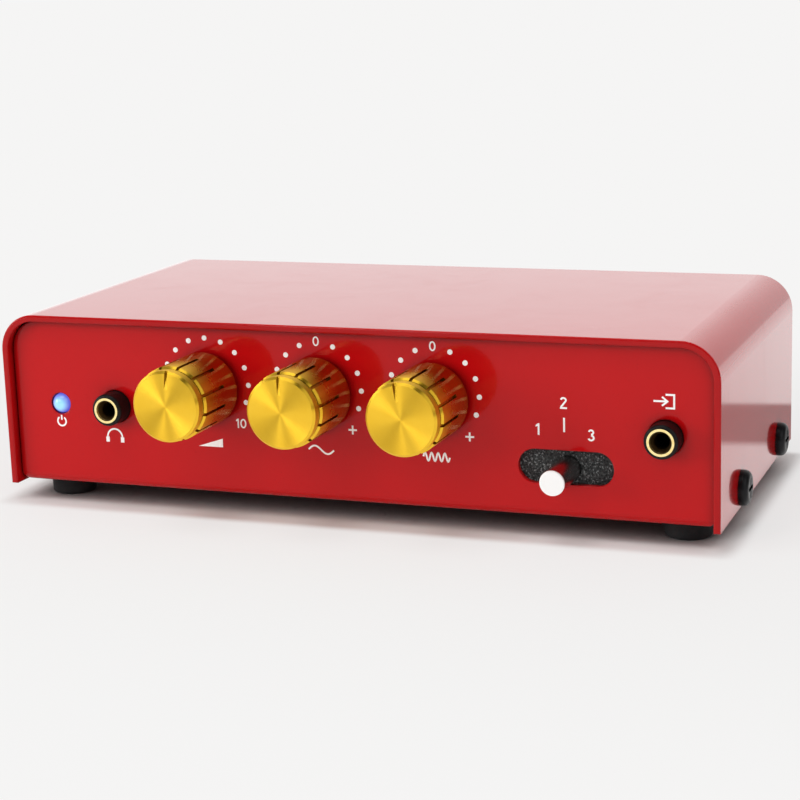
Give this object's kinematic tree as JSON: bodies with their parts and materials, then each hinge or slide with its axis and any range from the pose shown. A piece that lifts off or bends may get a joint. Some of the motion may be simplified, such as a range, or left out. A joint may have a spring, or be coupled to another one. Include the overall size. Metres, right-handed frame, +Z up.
{
  "type": "phono preamplifier",
  "caption": "Small desktop phono preamplifier with tone knobs, a sliding source lever, front jacks and rear signal sockets in a folded sheet-metal case.",
  "frame": {"origin": "middle of the outer box (knobs and sockets included) at the level the feet stand on", "axes": "+Z up, +X to the right as seen from the front, -Y out of the front panel"},
  "size_m": [0.1824, 0.115, 0.0472],
  "materials": {
    "case_paint": "glossy red powder coat over folded steel",
    "screw_black": "black oxide",
    "screw_steel": "zinc plated",
    "foot_rubber": "matt black",
    "knob_gold": "gold anodised, spun face",
    "core_plastic": "black moulded",
    "shaft_metal": "turned",
    "bushing_metal": "nickel plated",
    "element_resin": "brown resin wafer",
    "plated_steel": "nickel plated",
    "jack_plastic": "black moulded",
    "gilt": "gold plated",
    "led_lens": "lit pale blue lens",
    "lever_metal": "polished",
    "dust_foam": "open-cell black foam",
    "solder_mask": "green glass-fibre board",
    "part_black": "black moulded packages",
    "standoff_brass": "turned",
    "resistor_coat": "blue lacquer",
    "film_coat": "red box",
    "can_sleeve": "sleeved can",
    "insulator_white": "white moulded",
    "insulator_red": "red moulded"
  },
  "bodies": {
    "case": {"bass_pot_bushing": "bushing_metal", "bass_pot_case": "part_black", "board_header": "part_black", "board_standoffs": "standoff_brass", "chassis_tray": "case_paint", "control_board": "solder_mask", "control_pins": "plated_steel", "cover_screws": "screw_black", "dc_inlet": "core_plastic", "dc_inlet_pin": "plated_steel", "electrolytic_capacitors": "can_sleeve", "film_capacitors": "film_coat", "foot_front_left": "foot_rubber", "foot_front_right": "foot_rubber", "foot_rear_left": "foot_rubber", "foot_rear_right": "foot_rubber", "ground_post": "plated_steel", "header_pins": "plated_steel", "headphone_jack_body": "jack_plastic", "headphone_jack_ring": "gilt", "jack_contacts": "plated_steel", "led_leads": "plated_steel", "line_in_jack_body": "jack_plastic", "line_in_jack_ring": "gilt", "line_in_socket_housing": "core_plastic", "line_out_socket_housing": "core_plastic", "main_board": "solder_mask", "op_amps": "part_black", "phono_in_socket_housing": "core_plastic", "pot_elements": "element_resin", "pot_nuts": "plated_steel", "pot_washers": "plated_steel", "power_led": "led_lens", "red_insulators": "insulator_red", "resistors": "resistor_coat", "selector_switch_case": "part_black", "small_screws": "screw_steel", "socket_contacts": "gilt", "socket_shells": "plated_steel", "top_cover": "case_paint", "treble_pot_bushing": "bushing_metal", "treble_pot_case": "part_black", "voltage_regulator": "part_black", "volume_pot_bushing": "bushing_metal", "volume_pot_case": "part_black", "white_insulators": "insulator_white"},
    "volume_control": {"volume_knob": "knob_gold", "volume_knob_core": "core_plastic", "volume_pot_shaft": "shaft_metal"},
    "bass_control": {"bass_knob": "knob_gold", "bass_knob_core": "core_plastic", "bass_pot_shaft": "shaft_metal"},
    "treble_control": {"treble_knob": "knob_gold", "treble_knob_core": "core_plastic", "treble_pot_shaft": "shaft_metal"},
    "selector": {"selector_lever": "lever_metal", "selector_slider": "part_black", "dust_strip": "dust_foam"},
    "ground_washer": {"ground_washer": "plated_steel"},
    "ground_nut": {"ground_nut": "plated_steel"}
  },
  "joints": [
    {"name": "volume_turn", "type": "hinge", "parent": "case", "child": "volume_control", "pos_m": [-0.0348, -0.0359, 0.03095], "axis": [0, 1, 0], "range_deg": [-145, 135]},
    {"name": "bass_turn", "type": "hinge", "parent": "case", "child": "bass_control", "pos_m": [-0.00615, -0.0359, 0.03095], "axis": [0, 1, 0], "range_deg": [-138.5, 141.5]},
    {"name": "treble_turn", "type": "hinge", "parent": "case", "child": "treble_control", "pos_m": [0.0225, -0.0359, 0.03095], "axis": [0, 1, 0], "range_deg": [-130.5, 149.5]},
    {"name": "selector_slide", "type": "slide", "parent": "case", "child": "selector", "axis": [1, 0, 0], "range_m": [-0.0055, 0.0055]},
    {"name": "ground_washer_slide", "type": "slide", "parent": "case", "child": "ground_washer", "axis": [0, 1, 0], "range_m": [0, 0.0021]},
    {"name": "ground_nut_turn", "type": "hinge", "parent": "ground_washer", "child": "ground_nut", "pos_m": [-0.066, 0.0521, 0.021], "axis": [0, 1, 0], "range_deg": [0, 1080]}
  ],
  "couplings": [
    {"joint": "ground_nut_turn", "follows": "ground_washer_slide", "rad_per_m": 8976}
  ]
}
